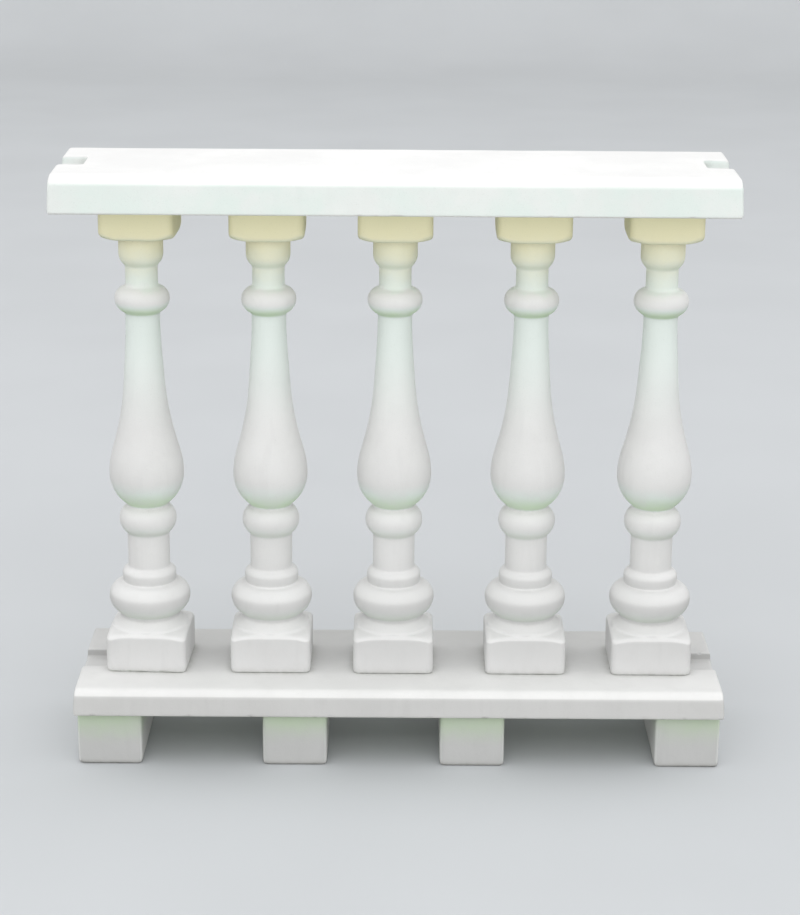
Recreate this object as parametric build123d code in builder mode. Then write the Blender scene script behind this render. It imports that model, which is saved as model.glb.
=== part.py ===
# Free-standing stone balustrade unit: a base rail on four feet, five turned balusters and a top rail.
# Millimetres, +Z up, X along the rails, the show face towards -Y.
# The origin is on the floor, midway between the outermost rail ends.
from build123d import *

import os

os.makedirs("parts", exist_ok=True)

# Row of balusters: distances between neighbouring axes, and the rails' reach to the left of the first axis
first_bay = 190.5
second_bay = 190.5
third_bay = 205.5
fourth_bay = 195.0
top_rail_left_end = 121.0
base_rail_left_end = 109.0

# Rails: slabs with a flat top that rounds over to an arris along the front and the back
top_rail_length = 1003.0
top_rail_depth = 252.0
top_rail_thickness = 56.5
top_rail_edge_run = 22.0
top_rail_edge_drop = 12.5
base_rail_length = 998.5
base_rail_depth = 274.0
base_rail_thickness = 42.0
base_rail_edge_run = 16.0
base_rail_edge_drop = 11.0
rail_lower_rounding = 1.2
rail_end_rounding = 4.0

# Cramp recess in the top face of each rail end, where a metal cramp ties in the next unit
recess_length = 42.0
recess_width = 66.0
recess_depth = 14.0
recess_corner = 5.0

# Feet: blocks that run from front to back under the base rail
foot_width = 99.5
foot_height = 85.0
foot_setback = 12.0
foot_inset = 5.0
second_foot_past_axis = 40.0
third_foot_past_axis = 122.5
foot_corner = 7.0
foot_edge_rounding = 5.0

# Baluster, bottom to top: heights of its members
plinth_height = 61.5
cove_height = 20.0
torus_height = 50.0
bead_height = 24.0
drum_height = 56.0
waist_ring_height = 46.0
vase_height = 304.0
upper_ring_height = 40.5
neck_height = 32.0
collar_height = 45.5
abacus_height = 55.0

# Baluster: square members, whose corners the turning rounds off
plinth_width = 125.0
plinth_corner = 10.0
plinth_edge_rounding = 7.5
plinth_corner_fall = 10.0
plinth_bottom_rounding = 2.5
abacus_width = 112.0
abacus_corner = 12.0
abacus_edge_rounding = 6.0
abacus_shoulder_radius = 53.0
abacus_corner_rise = 18.0
first_baluster_turn = -2.5

# Baluster: radii of the turned members, and the heights of their widest lines above their own feet
turning_margin = 4.0
disc_height = 3.5
cove_radius = 46.0
torus_radius = 63.3
torus_widest = 26.5
bead_foot_radius = 40.0
bead_radius = 42.0
bead_widest = 13.0
drum_radius = 32.7
waist_ring_radius = 44.4
waist_ring_widest = 22.5
vase_foot_radius = 30.0
belly_radius = 57.5
belly_level = 50.5
flank_radius = 47.5
flank_level = 103.5
shoulder_radius = 34.6
shoulder_level = 166.5
shaft_radius = 29.4
shaft_level = 230.0
shaft_top_radius = 26.4
shaft_top_length = 11.0
upper_ring_radius = 41.9
upper_ring_widest = 21.5
neck_radius = 24.7
collar_radius = 33.8
collar_rounding = 18.0

# Places along the row that follow from the sizes above
bay_widths = [first_bay, second_bay, third_bay, fourth_bay]
left_reach = max(top_rail_left_end, base_rail_left_end)
right_reach = max(top_rail_length - top_rail_left_end, base_rail_length - base_rail_left_end)
first_axis_x = (left_reach - right_reach) / 2
axis_places = [first_axis_x + sum(bay_widths[:bays]) for bays in range(len(bay_widths) + 1)]
top_rail_left_x = first_axis_x - top_rail_left_end
base_rail_left_x = first_axis_x - base_rail_left_end
base_rail_right_x = base_rail_left_x + base_rail_length

# Levels, from the floor up
baluster_bottom = foot_height + base_rail_thickness
plinth_top = baluster_bottom + plinth_height
torus_bottom = plinth_top + cove_height
torus_top = torus_bottom + torus_height
bead_top = torus_top + bead_height
drum_top = bead_top + drum_height
vase_bottom = drum_top + waist_ring_height
vase_top = vase_bottom + vase_height
upper_ring_top = vase_top + upper_ring_height
neck_top = upper_ring_top + neck_height
abacus_bottom = neck_top + collar_height
top_rail_bottom = abacus_bottom + abacus_height


def finish_piece(piece, name):
    """Label a finished piece and write it to its own file."""
    piece.label = name
    export_step(piece, f"parts/{name}.step")
    print(name, round(piece.volume / 1e6, 3), "litres")


def rail_slab(left_x, length, bottom_z, depth, thickness, edge_run, edge_drop):
    """A rail: its cross-section drawn out along X, with a cramp recess cut in each end."""
    half_depth = depth / 2
    flat_half = half_depth - edge_run
    arris = thickness - edge_drop
    section_plane = Plane(origin=(left_x, 0, bottom_z), x_dir=(0, 1, 0), z_dir=(1, 0, 0))
    with BuildPart() as slab:
        with BuildSketch(section_plane) as section:
            with BuildLine():
                Polyline((-half_depth, arris), (-half_depth, 0), (half_depth, 0), (half_depth, arris))
                TangentArc((flat_half, thickness), (half_depth, arris), tangent=(1, 0))
                Line((flat_half, thickness), (-flat_half, thickness))
                TangentArc((-flat_half, thickness), (-half_depth, arris), tangent=(-1, 0))
            make_face()
            fillet(section.vertices().group_by(Axis.Y)[0], rail_lower_rounding)
        extrude(amount=length)
        fillet(slab.faces().filter_by(Axis.X).edges(), rail_end_rounding)
        with BuildSketch(Plane.XY.offset(bottom_z + thickness)):
            with Locations((left_x, 0), (left_x + length, 0)):
                RectangleRounded(2 * recess_length, recess_width, recess_corner)
        extrude(amount=-recess_depth, mode=Mode.SUBTRACT)
    return slab.part


def turned_shoulder(upright, axis, inner_radius, outer_radius, flat_z, corner_z):
    """The waste that turning takes off a square block: a ring whose curved face rounds the corners."""
    with BuildPart(mode=Mode.PRIVATE) as waste:
        with BuildSketch(upright):
            with BuildLine():
                TangentArc((inner_radius, flat_z), (outer_radius, corner_z), tangent=(1, 0))
                Polyline((outer_radius, corner_z), (outer_radius, flat_z), (inner_radius, flat_z))
            make_face()
        revolve(axis=axis)
    return waste.part


def rim_edges(block):
    """The outer edges of a block's turned shoulder."""
    return block.faces().filter_by(GeomType.TORUS).edges().filter_by(GeomType.CIRCLE, reverse=True)


def ring_profile(foot, widest, top):
    """One side of a rounded ring: two arcs that meet upright at its widest line."""
    TangentArc(widest, foot, tangent=(0, -1))
    TangentArc(widest, top, tangent=(0, 1))


def turned_baluster(centre_x, turn):
    """A baluster: a square plinth, a turned shaft and a square abacus in one casting, set at a turn."""
    upright = Plane(origin=(centre_x, 0, 0), x_dir=(1, 0, 0), z_dir=(0, -1, 0))
    axis = Axis((centre_x, 0, 0), (0, 0, 1))
    corner_reach = 2**0.5 / 2
    disc_radius = plinth_width / 2 - turning_margin
    disc_top = plinth_top + disc_height

    with BuildPart() as plinth:
        with BuildSketch(Plane(origin=(centre_x, 0, baluster_bottom)).rotated((0, 0, turn))):
            RectangleRounded(plinth_width, plinth_width, plinth_corner)
        extrude(amount=plinth_height)
        plinth_reach = plinth_width * corner_reach
        fallen_z = plinth_top - plinth_corner_fall
        shoulder = turned_shoulder(upright, axis, disc_radius, plinth_reach, plinth_top, fallen_z)
        add(shoulder, mode=Mode.SUBTRACT)
        fillet(rim_edges(plinth), plinth_edge_rounding)
        fillet(plinth.faces().sort_by(Axis.Z)[0].edges(), plinth_bottom_rounding)

    with BuildPart() as abacus:
        with BuildSketch(Plane(origin=(centre_x, 0, abacus_bottom)).rotated((0, 0, turn))):
            RectangleRounded(abacus_width, abacus_width, abacus_corner)
        extrude(amount=abacus_height)
        abacus_reach = abacus_width * corner_reach
        risen_z = abacus_bottom + abacus_corner_rise
        shoulder = turned_shoulder(
            upright, axis, abacus_shoulder_radius, abacus_reach, abacus_bottom, risen_z
        )
        add(shoulder, mode=Mode.SUBTRACT)
        fillet(rim_edges(abacus), abacus_edge_rounding)

    with BuildPart() as baluster:
        add(plinth.part)
        add(abacus.part)
        with BuildSketch(upright):
            with BuildLine():
                Polyline((0, plinth_top), (disc_radius, plinth_top), (disc_radius, disc_top))
                TangentArc((cove_radius, torus_bottom), (disc_radius, disc_top), tangent=(0, -1))
                ring_profile(
                    (cove_radius, torus_bottom),
                    (torus_radius, torus_bottom + torus_widest),
                    (bead_foot_radius, torus_top),
                )
                ring_profile(
                    (bead_foot_radius, torus_top),
                    (bead_radius, torus_top + bead_widest),
                    (drum_radius, bead_top),
                )
                Line((drum_radius, bead_top), (drum_radius, drum_top))
                ring_profile(
                    (drum_radius, drum_top),
                    (waist_ring_radius, drum_top + waist_ring_widest),
                    (vase_foot_radius, vase_bottom),
                )
                TangentArc(
                    (belly_radius, vase_bottom + belly_level),
                    (vase_foot_radius, vase_bottom),
                    tangent=(0, -1),
                )
                Spline(
                    (belly_radius, vase_bottom + belly_level),
                    (flank_radius, vase_bottom + flank_level),
                    (shoulder_radius, vase_bottom + shoulder_level),
                    (shaft_radius, vase_bottom + shaft_level),
                    (shaft_top_radius, vase_top - shaft_top_length),
                    tangents=((0, 1), (0, 1)),
                )
                Line((shaft_top_radius, vase_top - shaft_top_length), (shaft_top_radius, vase_top))
                ring_profile(
                    (shaft_top_radius, vase_top),
                    (upper_ring_radius, vase_top + upper_ring_widest),
                    (neck_radius, upper_ring_top),
                )
                Line((neck_radius, upper_ring_top), (neck_radius, neck_top))
                TangentArc(
                    (collar_radius, neck_top + collar_rounding),
                    (neck_radius, neck_top),
                    tangent=(0, -1),
                )
                Polyline(
                    (collar_radius, neck_top + collar_rounding),
                    (collar_radius, abacus_bottom),
                    (0, abacus_bottom),
                    (0, plinth_top),
                )
            make_face()
        revolve(axis=axis)
    return baluster.part


def foot_block(centre_x):
    """A foot: a block with softened corners, face to face with the base rail's underside."""
    with BuildPart() as block:
        with BuildSketch(Plane(origin=(centre_x, 0, 0))):
            RectangleRounded(foot_width, base_rail_depth - 2 * foot_setback, foot_corner)
        extrude(amount=foot_height)
        fillet(block.faces().sort_by(Axis.Z)[0].edges(), foot_edge_rounding)
    return block.part


finish_piece(
    rail_slab(
        top_rail_left_x,
        top_rail_length,
        top_rail_bottom,
        top_rail_depth,
        top_rail_thickness,
        top_rail_edge_run,
        top_rail_edge_drop,
    ),
    "top_rail",
)
finish_piece(
    rail_slab(
        base_rail_left_x,
        base_rail_length,
        foot_height,
        base_rail_depth,
        base_rail_thickness,
        base_rail_edge_run,
        base_rail_edge_drop,
    ),
    "base_rail",
)
baluster_turns = [first_baluster_turn, 0, 0, 0, 0]
for number, (place, turn) in enumerate(zip(axis_places, baluster_turns), start=1):
    finish_piece(turned_baluster(place, turn), f"baluster_{number}")

foot_places = [
    base_rail_left_x + foot_inset + foot_width / 2,
    axis_places[1] + second_foot_past_axis,
    axis_places[2] + third_foot_past_axis,
    base_rail_right_x - foot_inset - foot_width / 2,
]
for number, place in enumerate(foot_places, start=1):
    finish_piece(foot_block(place), f"foot_{number}")
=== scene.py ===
"""Finishes the stone balustrade unit: weathered cast stone, a plain studio and the camera."""

import math

import bmesh
import bpy
import numpy as np
from mathutils import Matrix, Vector, noise


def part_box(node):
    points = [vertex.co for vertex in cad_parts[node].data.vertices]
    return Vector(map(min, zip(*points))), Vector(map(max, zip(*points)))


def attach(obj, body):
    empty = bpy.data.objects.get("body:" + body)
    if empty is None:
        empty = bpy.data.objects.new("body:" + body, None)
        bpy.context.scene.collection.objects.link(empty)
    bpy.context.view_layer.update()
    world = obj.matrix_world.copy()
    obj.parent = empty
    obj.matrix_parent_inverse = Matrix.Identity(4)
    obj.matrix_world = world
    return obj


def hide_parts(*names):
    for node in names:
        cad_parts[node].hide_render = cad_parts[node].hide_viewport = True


bl_info = {
    "name": "Stone Balustrade Finish",
    "version": (1, 0, 0),
    "blender": (4, 5, 0),
    "location": "3D View > Sidebar > Balustrade",
    "description": "Weathers a cast stone balustrade unit and sets up its studio",
    "category": "Object",
}

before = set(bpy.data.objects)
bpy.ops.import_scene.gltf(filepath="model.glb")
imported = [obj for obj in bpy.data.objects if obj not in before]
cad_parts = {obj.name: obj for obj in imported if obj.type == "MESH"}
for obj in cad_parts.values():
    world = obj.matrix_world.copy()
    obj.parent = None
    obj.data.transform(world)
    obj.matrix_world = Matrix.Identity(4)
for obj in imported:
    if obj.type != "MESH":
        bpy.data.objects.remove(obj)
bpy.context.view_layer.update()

# Nodes of the frame, by the kind of piece
RAILS = sorted(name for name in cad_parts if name.endswith("_rail"))
BALUSTERS = sorted(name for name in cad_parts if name.startswith("baluster_"))
FEET = sorted(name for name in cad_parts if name.startswith("foot_"))

# Levels that the finishes follow, from the frame
FLOOR_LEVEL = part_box(FEET[0])[0].z
FOOT_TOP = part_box(FEET[0])[1].z
BASE_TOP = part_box("base_rail")[1].z
RAIL_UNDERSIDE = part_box("top_rail")[0].z

# Heights over which a tone, a tint, a stain, painted shade or painted light comes or goes
BETWEEN_RAILS = (BASE_TOP + 0.1, RAIL_UNDERSIDE - 0.1)
FOOT_TOP_SHADE_RISE = (FOOT_TOP - 0.055, FOOT_TOP - 0.004)
LOW_SHADE_FALL = (BASE_TOP + 0.08, BASE_TOP + 0.22)
UPPER_LIGHT_RISE = (BASE_TOP + 0.34, RAIL_UNDERSIDE - 0.20)
VASE_FILM_SHADE_RISE = (RAIL_UNDERSIDE - 0.36, RAIL_UNDERSIDE - 0.20)
VASE_FILM_SHADE_FALL = (RAIL_UNDERSIDE - 0.178, RAIL_UNDERSIDE - 0.168)
NECK_FILM_SHADE_RISE = (RAIL_UNDERSIDE - 0.140, RAIL_UNDERSIDE - 0.125)
CREAM_SHADE_RISE = (RAIL_UNDERSIDE - 0.15, RAIL_UNDERSIDE - 0.03)
MID_BAND_RISE = (BASE_TOP + 0.21, BASE_TOP + 0.27)
MID_BAND_FALL = (RAIL_UNDERSIDE - 0.15, RAIL_UNDERSIDE - 0.11)

# From front to back: where the painted shade on the back of the base rail's top comes, and how far from the
# middle a recess ends
BACK_SHADE_RISE = (-0.13, 0.06)
RECESS_FALL = (0.045, 0.055)

# How much darker or lighter than its body colour the stone is painted in places: painted shade on the base
# rail, in the recesses and low on the balusters, and painted light high on the balusters and on the feet's
# sides
BASE_RAIL_SHADE_TONE = 0.89
BASE_RAIL_UPRIGHT_SHADE_TONE = 0.80
BASE_RAIL_BACK_SHADE_TONE = 0.78
RECESS_SHADE_TONE = 0.90
LOW_SHADE_TONE = 0.83
UPPER_LIGHT_TONE = 1.11
FOOT_SIDE_LIGHT_TONE = 1.33

# How strongly the relief of the surface shows on each kind of piece
RAIL_RELIEF = 0.7
BALUSTER_RELIEF = 0.6
FOOT_RELIEF = 0.9

# How finely each kind of piece is kept, in triangles
RAIL_TRIANGLES = 100000
BALUSTER_TRIANGLES = 60000
FOOT_TRIANGLES = 16000

# The first seed of each kind of piece, so that no two pieces wear alike
RAIL_SEED = 1
BALUSTER_SEED = 11
FOOT_SEED = 21

# Reach of the dead flat stone round the seat of another piece, how close a point counts as on a level,
# how far from a joint its edges stay crisp, and how much of a rail's length leans in at an end
SEAT_FADE = 0.02
LEVEL_REACH = 0.0004
CRISP_REACH = 0.007
LEAN_REACH = 0.03

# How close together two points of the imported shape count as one
MERGE_REACH = 2e-6

# How far a point stands out from its neighbours, in point spacings, where an outward edge starts, and
# how much further where it is sharp
EDGE_START = 0.05
EDGE_SPAN = 0.1

# Rubbing along the edges: the size of its spots, its mean and its swing
RUB_SIZE = 0.05
RUB_MEAN = 0.6
RUB_SWING = 0.7

# Chips: their size, the strength of noise where one starts, and how much more makes it whole
CHIP_SIZE = 0.012
CHIP_START = 0.40
CHIP_SPAN = 0.15

# Sizes of what shows in the surface of the stone
CLOUD_SIZE = 0.16
PATCH_SIZE = 0.03
STREAK_SIZE = 0.02
STREAK_STRETCH = (1.0, 1.0, 0.12)
DIRT_SIZE = 0.012
CREASE_REACH = 0.018
SPECK_SIZE = 0.0016
GLOSS_SIZE = 0.025
GRAIN_SIZE = 0.0018
DENT_SIZE = 0.012
PIT_SIZE = 0.011

# Heights of the surface's relief
GRAIN_HEIGHT = 0.0006
DENT_HEIGHT = 0.0012
PIT_HEIGHT = 0.0010

# Gloss of the stone: the range of its roughness, and its specular level
STONE_ROUGHNESS = (0.58, 0.76)
STONE_SPECULAR = 0.35

# The studio: where the floor ends in front and bends up behind, its reach to each side, the radius of the
# bend and its number of steps, the height of the backdrop, and the point in the unit that the lamp faces
FLOOR_FRONT = -24.0
FLOOR_BACK = 7.2
FLOOR_REACH = 21.0
BEND_RADIUS = 2.4
BEND_STEPS = 16
BACKDROP_HEIGHT = 6.0
UNIT_MIDDLE = Vector((0.0, 0.0, 0.45))

# The viewing angle: an eye in front of the middle of the unit, above it and looking down
EYE = Vector((0.0055, -3.4641, 1.5453))
EYE_TILT = math.radians(17.395)
EYE_ROLL = math.radians(0.372)
EYE_LENS_MM = 106.28
EYE_SENSOR_MM = 36.0


# Sizes and colours that a user would change

class WeatherSettings(bpy.types.PropertyGroup):
    """How worn the stone is."""

    spacing: bpy.props.FloatProperty(
        name="Point spacing",
        description="Distance between the points that the weathering moves",
        default=0.002, min=0.001, subtype="DISTANCE", unit="LENGTH",
    )
    wave: bpy.props.FloatProperty(
        name="Waviness",
        description="How far the flat faces wander inward from true",
        default=0.0007, min=0.0, subtype="DISTANCE", unit="LENGTH",
    )
    wave_length: bpy.props.FloatProperty(
        name="Wave length",
        description="Distance between the swells of the flat faces",
        default=0.08, min=0.01, subtype="DISTANCE", unit="LENGTH",
    )
    softening: bpy.props.IntProperty(
        name="Softening",
        description="Rounds of smoothing that soften every edge and crease",
        default=2, min=0,
    )
    edge_wear: bpy.props.FloatProperty(
        name="Edge wear",
        description="How much the outward edges are rubbed down",
        default=0.0008, min=0.0, subtype="DISTANCE", unit="LENGTH",
    )
    chip_depth: bpy.props.FloatProperty(
        name="Chip depth",
        description="Depth of the small chips along the outward edges",
        default=0.0020, min=0.0, subtype="DISTANCE", unit="LENGTH",
    )
    end_lean: bpy.props.FloatProperty(
        name="End lean",
        description="How far the ends of the rails lean in at the top, as they came out of the mould",
        default=0.003, min=0.0, subtype="DISTANCE", unit="LENGTH",
    )


class StoneColours(bpy.types.PropertyGroup):
    """The tones of the cast stone, painted lighter or darker by kind of piece as light reaches it, and of
    what has settled on it and the painted shade on it.
    """

    # The rail, baluster and foot colours are one white stone at three brightnesses: rails lightest and feet
    # darkest is painted light and shade, as the pieces low down and under the rail get less light
    rail: bpy.props.FloatVectorProperty(
        name="Rail stone", description="Body colour of the rails",
        default=(0.905, 0.905, 0.90), size=3, min=0.0, max=1.0, subtype="COLOR",
    )
    baluster: bpy.props.FloatVectorProperty(
        name="Baluster stone", description="Body colour of the balusters",
        default=(0.77, 0.77, 0.768), size=3, min=0.0, max=1.0, subtype="COLOR",
    )
    foot: bpy.props.FloatVectorProperty(
        name="Foot stone", description="Body colour of the feet",
        default=(0.555, 0.56, 0.558), size=3, min=0.0, max=1.0, subtype="COLOR",
    )
    # Painted shade: the yellowish tint of the stone in the shade under the top rail
    cream_shade: bpy.props.FloatVectorProperty(
        name="Cream stain", description="Tint of the sheltered stone under the top rail",
        default=(0.95, 0.90, 0.62), size=3, min=0.0, max=1.0, subtype="COLOR",
    )
    # Partly a real coating and partly painted greenish shade, on upright stone that gets little light
    film_and_green_shade: bpy.props.FloatVectorProperty(
        name="Pale film", description="Tint of the thin green-white film on the upper stone",
        default=(0.80, 0.90, 0.86), size=3, min=0.0, max=1.0, subtype="COLOR",
    )
    # A green tint that the finishes lay on faces that turn downward
    green: bpy.props.FloatVectorProperty(
        name="Green stain", description="Tint of the damp undersides",
        default=(0.70, 0.86, 0.64), size=3, min=0.0, max=1.0, subtype="COLOR",
    )
    # Painted shade: the greenish tint of the feet's tops in the shade under the rail
    foot_top_shade: bpy.props.FloatVectorProperty(
        name="Green growth", description="Tint of the growth at the top of the feet",
        default=(0.50, 0.66, 0.42), size=3, min=0.0, max=1.0, subtype="COLOR",
    )
    # This colour darkens the creases, as painted shade and grime, and makes the specks
    dirt_and_crease_shade: bpy.props.FloatVectorProperty(
        name="Dirt", description="Colour of the dirt in the creases",
        default=(0.34, 0.34, 0.31), size=3, min=0.0, max=1.0, subtype="COLOR",
    )


class StudioSettings(bpy.types.PropertyGroup):
    """The plain floor, the backdrop and the light."""

    floor: bpy.props.FloatVectorProperty(
        name="Floor", description="Colour of the floor and the backdrop as they are seen",
        default=(0.60, 0.62, 0.64), size=3, min=0.0, max=1.0, subtype="COLOR",
    )
    bounce: bpy.props.FloatVectorProperty(
        name="Bounce", description="Colour of the floor and the backdrop as they light the stone",
        default=(0.20, 0.205, 0.19), size=3, min=0.0, max=1.0, subtype="COLOR",
    )
    sky: bpy.props.FloatProperty(
        name="Soft light", description="Strength of the light from all round",
        default=1.18, min=0.0,
    )
    low_lamp: bpy.props.FloatProperty(
        name="Low lamp", description="Power of the wide lamp low in front",
        default=64.0, min=0.0, unit="POWER",
    )


# Small helpers

def settings():
    """The scene's own copy of the three groups of settings."""
    scene = bpy.context.scene
    return scene.balustrade_weather, scene.balustrade_colours, scene.balustrade_studio


def shaped(data, kind, **values):
    """A mesh as one of Blender's modifiers leaves it."""
    holder = bpy.data.objects.new("blank", data)
    bpy.context.scene.collection.objects.link(holder)
    modifier = holder.modifiers.new("shape", kind)
    for name, value in values.items():
        setattr(modifier, name, value)
    graph = bpy.context.evaluated_depsgraph_get()
    result = bpy.data.meshes.new_from_object(holder.evaluated_get(graph))
    bpy.data.objects.remove(holder)
    bpy.data.meshes.remove(data)
    return result


# Stone pieces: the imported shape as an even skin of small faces, worn and then thinned where it is flat

def even_skin(node, spacing):
    """A node's shape as one closed skin of small, even faces."""
    mesh = bmesh.new()
    mesh.from_mesh(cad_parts[node].data)
    bmesh.ops.remove_doubles(mesh, verts=mesh.verts, dist=MERGE_REACH)
    data = bpy.data.meshes.new(node + "_blank")
    mesh.to_mesh(data)
    mesh.free()
    return shaped(data, "REMESH", mode="VOXEL", voxel_size=spacing)


class Skin:
    """A mesh's points as arrays, so that the wear can move them all at once."""

    def __init__(self, data):
        self.data = data
        count = len(data.vertices)
        places = np.empty(count * 3, dtype=np.float32)
        normals = np.empty(count * 3, dtype=np.float32)
        ends = np.empty(len(data.edges) * 2, dtype=np.int32)
        data.vertices.foreach_get("co", places)
        data.vertices.foreach_get("normal", normals)
        data.edges.foreach_get("vertices", ends)
        self.places = places.reshape(-1, 3).astype(float)
        self.normals = normals.reshape(-1, 3).astype(float)
        ends = ends.reshape(-1, 2)
        self.near = np.concatenate((ends, ends[:, ::-1]))
        self.degree = np.bincount(self.near[:, 0], minlength=count)

    def blurred(self, values):
        """For each point, the mean of some values over the points that share an edge with it."""
        if values.ndim > 1:
            return np.stack([self.blurred(column) for column in values.T], axis=1)
        total = np.bincount(self.near[:, 0], weights=values[self.near[:, 1]], minlength=len(values))
        return total / self.degree

    def clouds(self, size, seed):
        """Smooth noise at each point, about -0.6 to 0.6, with blobs about one size across."""
        shift = Vector((seed * 3.7, seed * 1.9, seed * 0.7))
        return np.array([noise.noise(Vector(place) + shift) for place in (self.places / size).tolist()])

    def outward_edges(self, spacing):
        """1 on sharp outward edges, 0 on faces, in creases and on gentle curves."""
        bulge = np.einsum("ij,ij->i", self.places - self.blurred(self.places), self.normals)
        for _ in range(2):
            bulge = (bulge + self.blurred(bulge)) / 2
        return np.clip((bulge / spacing - EDGE_START) / EDGE_SPAN, 0.0, 1.0)

    def store(self):
        """Gives the moved points back to the mesh."""
        self.data.vertices.foreach_set("co", self.places.astype(np.float32).ravel())
        self.data.update()
        return self.data


def near_seats(places, seats, level):
    """1 where another piece sits on a level, fading to 0 a little way off."""
    near = np.zeros(len(places))
    for low, high in seats:
        beside = np.maximum(low.x - places[:, 0], places[:, 0] - high.x)
        before = np.maximum(low.y - places[:, 1], places[:, 1] - high.y)
        near = np.maximum(near, np.clip(1 - np.maximum(beside, before) / SEAT_FADE, 0.0, 1.0))
    return near * (np.abs(places[:, 2] - level) < LEVEL_REACH)


def leaning(places, low, high, lean):
    """How far each point of a rail moves along it for its ends to lean in at the top."""
    rise = (places[:, 2] - low.z) / (high.z - low.z)
    from_middle = places[:, 0] - (low.x + high.x) / 2
    near_end = np.clip(1 - ((high.x - low.x) / 2 - np.abs(from_middle)) / LEAN_REACH, 0.0, 1.0)
    return np.sign(from_middle) * lean * rise * near_end


def worn(data, node, seed, weather, joints, seats=()):
    """Softens the edges, lets the faces wander, rubs and chips the edges, and leans a rail's ends in."""
    skin = Skin(data)
    low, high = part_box(node)
    start = skin.places.copy()
    edge = skin.outward_edges(weather.spacing)
    loose = np.ones(len(start))
    for level in joints:
        loose = np.minimum(loose, np.clip(np.abs(start[:, 2] - level) / CRISP_REACH, 0.0, 1.0))
    for _ in range(weather.softening):
        skin.places += loose[:, None] * (skin.blurred(skin.places) - skin.places) / 2
    swell = 0.5 + 0.5 * skin.clouds(weather.wave_length, seed)
    rub = (RUB_MEAN + RUB_SWING * skin.clouds(RUB_SIZE, seed + 0.3)) * loose
    chip = np.clip((skin.clouds(CHIP_SIZE, seed + 0.6) - CHIP_START) / CHIP_SPAN, 0.0, 1.0)
    depth = weather.wave * swell * (1 - near_seats(start, seats, high.z))
    depth += edge * (weather.edge_wear * rub + weather.chip_depth * chip)
    skin.places -= skin.normals * depth[:, None]
    for level in joints:
        on_joint = np.abs(start[:, 2] - level) < LEVEL_REACH
        skin.places[on_joint, 2] = level
    if node in RAILS:
        skin.places[:, 0] -= leaning(start, low, high, weather.end_lean)
    skin.places = np.clip(skin.places, np.array(low), np.array(high))
    return skin.store()


def stone_piece(node, seed, material, triangles, joints, seats=()):
    """A worn stone piece that stands for its node."""
    weather = settings()[0]
    data = worn(even_skin(node, weather.spacing), node, seed, weather, joints, seats)
    fine = sum(len(face.vertices) - 2 for face in data.polygons)
    data = shaped(data, "DECIMATE", ratio=min(1.0, triangles / fine))
    data.name = node + "_stone"
    data.polygons.foreach_set("use_smooth", [True] * len(data.polygons))
    data.materials.clear()
    data.materials.append(material)
    piece = bpy.data.objects.new(node + "_stone", data)
    bpy.context.scene.collection.objects.link(piece)
    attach(piece, "root")
    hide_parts(node)


# Materials

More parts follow.
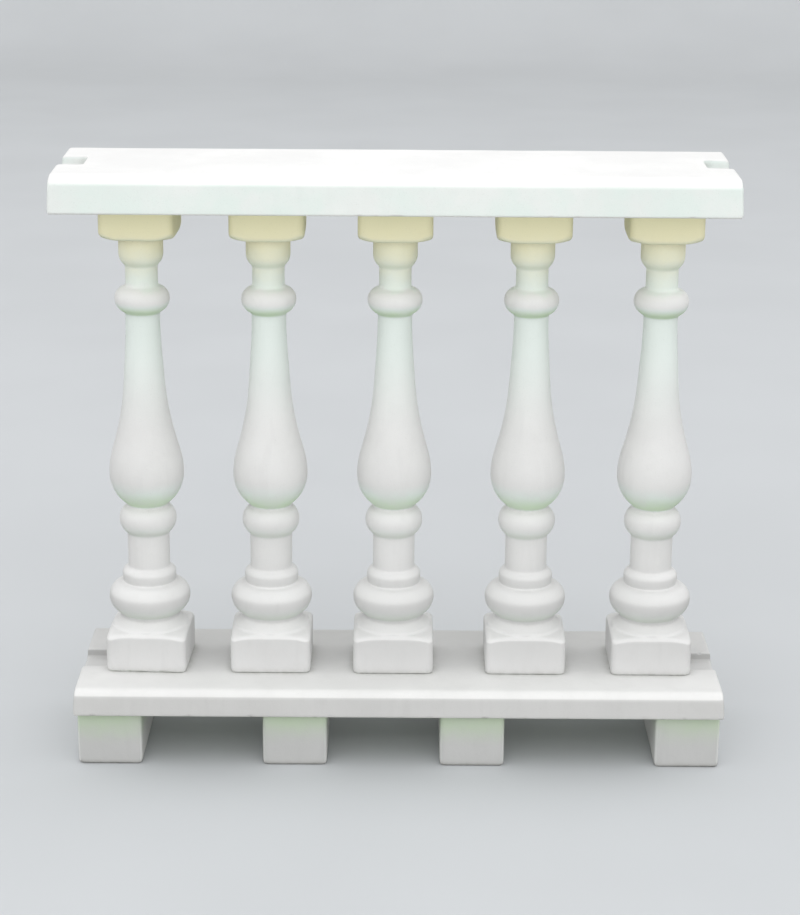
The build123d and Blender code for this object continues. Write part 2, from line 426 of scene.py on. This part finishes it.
class NodeBoard:
    """A material's node tree, with short calls for the nodes that the finishes share."""

    def __init__(self, name):
        self.material = bpy.data.materials.new(name)
        self.material.use_nodes = True
        self.nodes = self.material.node_tree.nodes
        self.links = self.material.node_tree.links
        self.shader = self.nodes["Principled BSDF"]
        self.place = self.nodes.new("ShaderNodeTexCoord").outputs["Object"]
        geometry = self.nodes.new("ShaderNodeNewGeometry")
        self.normal = self.split(geometry.outputs["Normal"])
        _, self.depth, self.level = self.split(self.place)

    def split(self, vector):
        """The three parts of a vector."""
        node = self.nodes.new("ShaderNodeSeparateXYZ")
        self.links.new(vector, node.inputs[0])
        return node.outputs[0], node.outputs[1], node.outputs[2]

    def stretched(self, scale):
        """Object coordinates, scaled by axis."""
        node = self.nodes.new("ShaderNodeMapping")
        node.inputs["Scale"].default_value = scale
        self.links.new(self.place, node.inputs["Vector"])
        return node.outputs[0]

    def noise(self, size, detail=3.0, rough=0.55, stretch=None):
        """Cloudy noise whose blobs are about one size across, in metres."""
        node = self.nodes.new("ShaderNodeTexNoise")
        node.inputs["Scale"].default_value = 1.0 / size
        node.inputs["Detail"].default_value = detail
        node.inputs["Roughness"].default_value = rough
        self.links.new(self.stretched(stretch) if stretch else self.place, node.inputs["Vector"])
        return node.outputs["Fac"]

    def pits(self, size):
        """Distance to the nearest of many scattered points."""
        node = self.nodes.new("ShaderNodeTexVoronoi")
        node.inputs["Scale"].default_value = 1.0 / size
        self.links.new(self.place, node.inputs["Vector"])
        return node.outputs["Distance"]

    def ramp(self, value, low, high, start=0.0, end=1.0):
        """A value spread smoothly from one range to another."""
        node = self.nodes.new("ShaderNodeMapRange")
        node.interpolation_type = "SMOOTHSTEP"
        self.links.new(value, node.inputs["Value"])
        node.inputs["From Min"].default_value = low
        node.inputs["From Max"].default_value = high
        node.inputs["To Min"].default_value = start
        node.inputs["To Max"].default_value = end
        return node.outputs["Result"]

    def math(self, kind, first, second):
        """One sum of two values."""
        node = self.nodes.new("ShaderNodeMath")
        node.operation = kind
        for socket, value in zip(node.inputs, (first, second)):
            if isinstance(value, (int, float)):
                socket.default_value = value
            else:
                self.links.new(value, socket)
        return node.outputs[0]

    def both(self, first, second):
        """One mask within another."""
        return self.math("MULTIPLY", first, second)

    def rest(self, mask):
        """Where a mask isn't."""
        return self.math("SUBTRACT", 1.0, mask)

    def away(self, value):
        """How far a value is from zero, either way."""
        return self.math("ABSOLUTE", value, 0.0)

    def tint(self, colour, other, amount):
        """One colour laid over another by an amount."""
        node = self.nodes.new("ShaderNodeMix")
        node.data_type = "RGBA"
        self.links.new(amount, node.inputs["Factor"])
        for socket, value in ((node.inputs[6], colour), (node.inputs[7], other)):
            if isinstance(value, bpy.types.NodeSocket):
                self.links.new(value, socket)
            else:
                socket.default_value = (*value, 1.0)
        return node.outputs[2]

    def toned(self, colour, value, tone, low=0.0, high=1.0):
        """A colour taken to a lighter or darker tone as a value goes from low to high."""
        node = self.nodes.new("ShaderNodeMix")
        node.data_type = "RGBA"
        node.blend_type = "MULTIPLY"
        node.inputs["Factor"].default_value = 1.0
        self.links.new(colour, node.inputs[6])
        self.links.new(self.ramp(value, low, high, 1.0, tone), node.inputs[7])
        return node.outputs[2]

    def upright(self):
        """1 on upright faces, 0 on level ones."""
        return self.ramp(self.away(self.normal[2]), 0.2, 0.6, 1.0, 0.0)

    def seen_directly(self):
        """1 where the camera, or a reflection or refraction, looks at the surface, and 0 for soft bounces."""
        path = self.nodes.new("ShaderNodeLightPath")
        mirrored = self.math("MAXIMUM", path.outputs["Is Glossy Ray"], path.outputs["Is Transmission Ray"])
        return self.math("MAXIMUM", path.outputs["Is Camera Ray"], mirrored)

    def crease(self, reach):
        """How deep a point lies in a crease, from the stone within reach of it."""
        node = self.nodes.new("ShaderNodeAmbientOcclusion")
        node.samples = 8
        node.inputs["Distance"].default_value = reach
        return self.ramp(node.outputs["AO"], 0.35, 0.95, 1.0, 0.0)

    def bump(self, height, distance, strength, under=None):
        """Relief from a height, on top of other relief."""
        node = self.nodes.new("ShaderNodeBump")
        node.inputs["Distance"].default_value = distance
        node.inputs["Strength"].default_value = strength
        self.links.new(height, node.inputs["Height"])
        if under is not None:
            self.links.new(under, node.inputs["Normal"])
        return node.outputs["Normal"]


def scaled(colour, share):
    """A colour made lighter or darker."""
    return tuple(min(1.0, part * share) for part in colour)


def cast_stone(name, body):
    """Cast stone: a mottled body, with faint streaks down its upright faces."""
    board = NodeBoard(name)
    clouds = board.ramp(board.noise(CLOUD_SIZE, detail=4.0), 0.35, 0.65)
    colour = board.tint(scaled(body, 0.965), scaled(body, 1.02), clouds)
    patches = board.ramp(board.noise(PATCH_SIZE, detail=5.0, rough=0.6), 0.5, 0.75, 0.0, 0.35)
    colour = board.tint(colour, scaled(body, 0.93), patches)
    streaks = board.noise(STREAK_SIZE, rough=0.5, stretch=STREAK_STRETCH)
    streaks = board.both(board.ramp(streaks, 0.52, 0.72, 0.0, 0.30), board.upright())
    colour = board.tint(colour, scaled(body, 0.90), streaks)
    return board, colour


def finish_stone(board, colour, colours, relief):
    """Adds painted crease shade with crease grime, specks, grain, dents and pits, and joins the colour to the
    shader.
    """
    # Painted crease shade together with crease grime: the stone is darkened where ambient occlusion finds
    # other stone close by, in creases and where pieces meet
    uneven = board.ramp(board.noise(DIRT_SIZE, detail=4.0, rough=0.6), 0.3, 0.7, 0.25, 0.5)
    colour = board.tint(colour, colours.dirt_and_crease_shade, board.both(board.crease(CREASE_REACH), uneven))
    specks = board.ramp(board.noise(SPECK_SIZE, detail=2.0, rough=0.5), 0.62, 0.74, 0.0, 0.12)
    colour = board.tint(colour, colours.dirt_and_crease_shade, specks)
    board.links.new(colour, board.shader.inputs["Base Color"])

    rough = board.ramp(board.noise(GLOSS_SIZE, detail=4.0, rough=0.6), 0.3, 0.7, *STONE_ROUGHNESS)
    board.links.new(rough, board.shader.inputs["Roughness"])
    board.shader.inputs["Specular IOR Level"].default_value = STONE_SPECULAR

    grain = board.noise(GRAIN_SIZE, detail=4.0, rough=0.65)
    dents = board.noise(DENT_SIZE, detail=5.0, rough=0.6)
    pits = board.ramp(board.pits(PIT_SIZE), 0.06, 0.16)
    surface = board.bump(grain, GRAIN_HEIGHT, 0.35 * relief)
    surface = board.bump(dents, DENT_HEIGHT, 0.30 * relief, surface)
    surface = board.bump(pits, PIT_HEIGHT, 0.15 * relief, surface)
    board.links.new(surface, board.shader.inputs["Normal"])
    return board.material


def drifting_level(board, size, reach):
    """Height above the floor, made uneven so that the tints and painted shade that follow it don't end in a
    straight line.
    """
    drift = board.math("MULTIPLY", board.math("SUBTRACT", board.noise(size), 0.5), reach)
    return board.math("ADD", board.level, drift)


def rail_finish(colours):
    """White rail stone: a pale green-white tint on the top rail's uprights, part coating and part painted
    shade, painted shade on the base rail and in the recesses, and greener undersides.
    """
    board, colour = cast_stone("rail_stone_finish", colours.rail)
    # A pale green-white tint on the top rail's upright faces: partly a coating, partly painted greenish shade
    upright = board.upright()
    high = board.ramp(board.level, *BETWEEN_RAILS)
    film_and_green_shade = board.ramp(board.noise(0.07), 0.3, 0.7, 0.35, 0.85)
    colour = board.tint(colour, colours.film_and_green_shade, board.both(board.both(upright, high), film_and_green_shade))

    # Painted shade: the base rail is darker all over, darker still on its upright faces and towards the back
    # of its top, where less light reaches it
    low = board.rest(high)
    behind = board.ramp(board.depth, *BACK_SHADE_RISE)
    colour = board.toned(colour, low, BASE_RAIL_SHADE_TONE)
    colour = board.toned(colour, board.both(low, upright), BASE_RAIL_UPRIGHT_SHADE_TONE)
    colour = board.toned(colour, board.both(low, behind), BASE_RAIL_BACK_SHADE_TONE)

    # Painted shade on the upright walls of the recesses at the rails' ends
    inside = board.ramp(board.away(board.depth), *RECESS_FALL, 1.0, 0.0)
    walls = board.ramp(board.away(board.normal[1]), 0.3, 0.7)
    colour = board.toned(colour, board.both(inside, walls), RECESS_SHADE_TONE)
    # A green tint on the rails' downward faces
    under = board.ramp(board.normal[2], -0.7, -0.95, 0.0, 0.6)
    colour = board.tint(colour, colours.green, under)
    return finish_stone(board, colour, colours, RAIL_RELIEF)


def baluster_finish(colours):
    """Baluster stone: painted yellowish shade under the top rail, a pale green-white tint below it that is
    part coating and part painted shade, greener undersides, painted shade low down and painted light higher
    up.
    """
    board, colour = cast_stone("baluster_stone_finish", colours.baluster)
    # Painted shade: the lower baluster is darker on the faces that don't face up
    facing_up = board.ramp(board.normal[2], 0.05, 0.55)
    low_shade = board.ramp(board.level, *LOW_SHADE_FALL, 1.0, 0.0)
    colour = board.toned(colour, board.both(low_shade, board.rest(facing_up)), LOW_SHADE_TONE)
    # Painted light: the upper baluster is lighter
    colour = board.toned(colour, board.level, UPPER_LIGHT_TONE, *UPPER_LIGHT_RISE)

    # A pale green-white tint on the neck and the vase: partly a coating, partly painted greenish shade
    uneven_level = drifting_level(board, 0.03, 0.03)
    neck = board.ramp(uneven_level, *NECK_FILM_SHADE_RISE, 0.0, 0.8)
    vase = board.ramp(uneven_level, *VASE_FILM_SHADE_RISE, 0.0, 0.7)
    vase = board.both(vase, board.ramp(board.level, *VASE_FILM_SHADE_FALL, 1.0, 0.0))
    colour = board.tint(colour, colours.film_and_green_shade, board.math("MAXIMUM", neck, vase))
    # Painted shade: a yellowish tint on the stone just under the top rail
    colour = board.tint(colour, colours.cream_shade, board.ramp(uneven_level, *CREAM_SHADE_RISE))

    # Paler and greener tints on the baluster's faces that turn downward, in a band of levels
    patchy = board.ramp(board.noise(0.035), 0.3, 0.6, 0.6, 1.0)
    mid_band = board.ramp(board.level, *MID_BAND_RISE, 0.2, 1.0)
    mid_band = board.both(mid_band, board.ramp(board.level, *MID_BAND_FALL, 1.0, 0.25))
    mid_band = board.both(mid_band, patchy)
    edge = board.both(board.ramp(board.normal[2], 0.0, -0.45, 0.0, 0.8), mid_band)
    colour = board.tint(colour, colours.film_and_green_shade, edge)
    under = board.both(board.ramp(board.normal[2], -0.25, -0.80), mid_band)
    colour = board.tint(colour, colours.green, under)
    return finish_stone(board, colour, colours, BALUSTER_RELIEF)


def foot_finish(colours):
    """Foot stone, greyer as painted shade, painted lighter on its sheltered sides, and painted greenish shade
    close under the rail.
    """
    board, colour = cast_stone("foot_stone_finish", colours.foot)
    # Painted light: the feet's sides are lighter, as little light reaches them under the rail
    colour = board.toned(colour, board.away(board.normal[0]), FOOT_SIDE_LIGHT_TONE, low=0.3, high=0.8)
    # Painted shade with a greenish cast at the top of the feet, under the rail's overhang
    foot_top_shade = board.ramp(drifting_level(board, 0.02, 0.02), *FOOT_TOP_SHADE_RISE)
    uneven = board.ramp(board.noise(0.11, detail=2.0), 0.35, 0.65, 0.25, 0.6)
    colour = board.tint(colour, colours.foot_top_shade, board.both(foot_top_shade, uneven))
    return finish_stone(board, colour, colours, FOOT_RELIEF)


# Operators

class BALUSTRADE_OT_rails(bpy.types.Operator):
    """Wear and finish the top rail and the base rail"""

    bl_idname = "balustrade.rails"
    bl_label = "Finish the rails"

    def execute(self, context):
        material = rail_finish(settings()[1])
        seats = [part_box(node) for node in BALUSTERS]
        for seed, node in enumerate(RAILS, start=RAIL_SEED):
            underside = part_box(node)[0].z
            stone_piece(node, seed, material, RAIL_TRIANGLES, [underside], seats)
        return {"FINISHED"}


class BALUSTRADE_OT_balusters(bpy.types.Operator):
    """Wear and finish the five turned balusters"""

    bl_idname = "balustrade.balusters"
    bl_label = "Finish the balusters"

    def execute(self, context):
        material = baluster_finish(settings()[1])
        joints = [BASE_TOP, RAIL_UNDERSIDE]
        for seed, node in enumerate(BALUSTERS, start=BALUSTER_SEED):
            stone_piece(node, seed, material, BALUSTER_TRIANGLES, joints)
        return {"FINISHED"}


class BALUSTRADE_OT_feet(bpy.types.Operator):
    """Wear and finish the four block feet"""

    bl_idname = "balustrade.feet"
    bl_label = "Finish the feet"

    def execute(self, context):
        material = foot_finish(settings()[1])
        joints = [FLOOR_LEVEL, FOOT_TOP]
        for seed, node in enumerate(FEET, start=FOOT_SEED):
            stone_piece(node, seed, material, FOOT_TRIANGLES, joints)
        return {"FINISHED"}


class BALUSTRADE_OT_studio(bpy.types.Operator):
    """Set the floor, the backdrop, the light and the camera"""

    bl_idname = "balustrade.studio"
    bl_label = "Set the studio"

    def execute(self, context):
        studio = settings()[2]
        set_floor(studio)
        set_light(studio)
        set_camera()
        return {"FINISHED"}


# Studio

def set_floor(studio):
    """A wide floor that curves up into a backdrop far behind, so that every side can be viewed."""
    outline = [(FLOOR_FRONT, 0.0), (FLOOR_BACK, 0.0)]
    for step in range(1, BEND_STEPS + 1):
        turn = math.radians(90 * step / BEND_STEPS)
        back = FLOOR_BACK + BEND_RADIUS * math.sin(turn)
        outline.append((back, BEND_RADIUS - BEND_RADIUS * math.cos(turn)))
    outline.append((FLOOR_BACK + BEND_RADIUS, BACKDROP_HEIGHT))
    data = bpy.data.meshes.new("floor")
    verts = [(side * FLOOR_REACH, y, FLOOR_LEVEL + z) for y, z in outline for side in (-1, 1)]
    faces = [(2 * i, 2 * i + 1, 2 * i + 3, 2 * i + 2) for i in range(len(outline) - 1)]
    data.from_pydata(verts, [], faces)
    data.polygons.foreach_set("use_smooth", [True] * len(data.polygons))

    board = NodeBoard("studio_floor")
    shade = board.ramp(board.noise(0.6, detail=2.0), 0.3, 0.7)
    colour = board.tint(scaled(studio.floor, 0.985), scaled(studio.floor, 1.015), shade)
    colour = board.tint(studio.bounce, colour, board.seen_directly())
    board.links.new(colour, board.shader.inputs["Base Color"])
    board.shader.inputs["Roughness"].default_value = 0.9
    board.shader.inputs["Specular IOR Level"].default_value = 0.1
    data.materials.append(board.material)
    floor = bpy.data.objects.new("floor", data)
    bpy.context.scene.collection.objects.link(floor)


def add_lamp(name, place, width, height, power):
    """A wide soft lamp that faces the middle of the unit."""
    lamp = bpy.data.lights.new(name, "AREA")
    lamp.shape = "RECTANGLE"
    lamp.size = width
    lamp.size_y = height
    lamp.energy = power
    holder = bpy.data.objects.new(name, lamp)
    holder.location = place
    aim = UNIT_MIDDLE - holder.location
    holder.rotation_euler = aim.to_track_quat("-Z", "Y").to_euler()
    holder.visible_camera = False
    bpy.context.scene.collection.objects.link(holder)


def set_light(studio):
    """Soft light all round, which the camera sees in the floor's colour, and a wide lamp low in front."""
    world = bpy.data.worlds.new("studio")
    world.use_nodes = True
    nodes = world.node_tree.nodes
    links = world.node_tree.links
    light = nodes["Background"]
    light.inputs["Color"].default_value = (1.0, 1.0, 1.0, 1.0)
    light.inputs["Strength"].default_value = studio.sky
    seen = nodes.new("ShaderNodeBackground")
    seen.inputs["Color"].default_value = (*studio.floor, 1.0)
    path = nodes.new("ShaderNodeLightPath")
    chosen = nodes.new("ShaderNodeMixShader")
    links.new(path.outputs["Is Camera Ray"], chosen.inputs["Fac"])
    links.new(light.outputs[0], chosen.inputs[1])
    links.new(seen.outputs[0], chosen.inputs[2])
    links.new(chosen.outputs[0], nodes["World Output"].inputs["Surface"])
    bpy.context.scene.world = world
    add_lamp("low_lamp", place=(0.1, -5.0, 0.9), width=6.0, height=1.6, power=studio.low_lamp)


def set_camera():
    """The camera at the viewing angle."""
    data = bpy.data.cameras.new("camera")
    data.sensor_fit = "HORIZONTAL"
    data.sensor_width = EYE_SENSOR_MM
    data.lens = EYE_LENS_MM
    camera = bpy.data.objects.new("camera", data)
    turn = Matrix.Rotation(math.radians(90) - EYE_TILT, 4, "X") @ Matrix.Rotation(EYE_ROLL, 4, "Z")
    camera.matrix_world = Matrix.Translation(EYE) @ turn
    bpy.context.scene.collection.objects.link(camera)
    bpy.context.scene.camera = camera
    bpy.context.scene.view_settings.view_transform = "Standard"


# Panel

class BALUSTRADE_PT_finish(bpy.types.Panel):
    """Lists the settings and the steps of the finish"""

    bl_label = "Stone Balustrade"
    bl_space_type = "VIEW_3D"
    bl_region_type = "UI"
    bl_category = "Balustrade"

    def draw(self, context):
        for group in settings():
            for name in group.bl_rna.properties.keys():
                if name not in ("rna_type", "name"):
                    self.layout.prop(group, name)
        for step in OPERATORS:
            self.layout.operator(step.bl_idname)


GROUPS = (WeatherSettings, StoneColours, StudioSettings)
OPERATORS = (
    BALUSTRADE_OT_rails,
    BALUSTRADE_OT_balusters,
    BALUSTRADE_OT_feet,
    BALUSTRADE_OT_studio,
)


def register():
    for entry in (*GROUPS, *OPERATORS, BALUSTRADE_PT_finish):
        bpy.utils.register_class(entry)
    bpy.types.Scene.balustrade_weather = bpy.props.PointerProperty(type=WeatherSettings)
    bpy.types.Scene.balustrade_colours = bpy.props.PointerProperty(type=StoneColours)
    bpy.types.Scene.balustrade_studio = bpy.props.PointerProperty(type=StudioSettings)


def unregister():
    del bpy.types.Scene.balustrade_studio
    del bpy.types.Scene.balustrade_colours
    del bpy.types.Scene.balustrade_weather
    for entry in reversed((*GROUPS, *OPERATORS, BALUSTRADE_PT_finish)):
        bpy.utils.unregister_class(entry)


def main():
    """Runs every step in order."""
    register()
    bpy.ops.balustrade.rails()
    bpy.ops.balustrade.balusters()
    bpy.ops.balustrade.feet()
    bpy.ops.balustrade.studio()


if __name__ == "__main__":
    main()
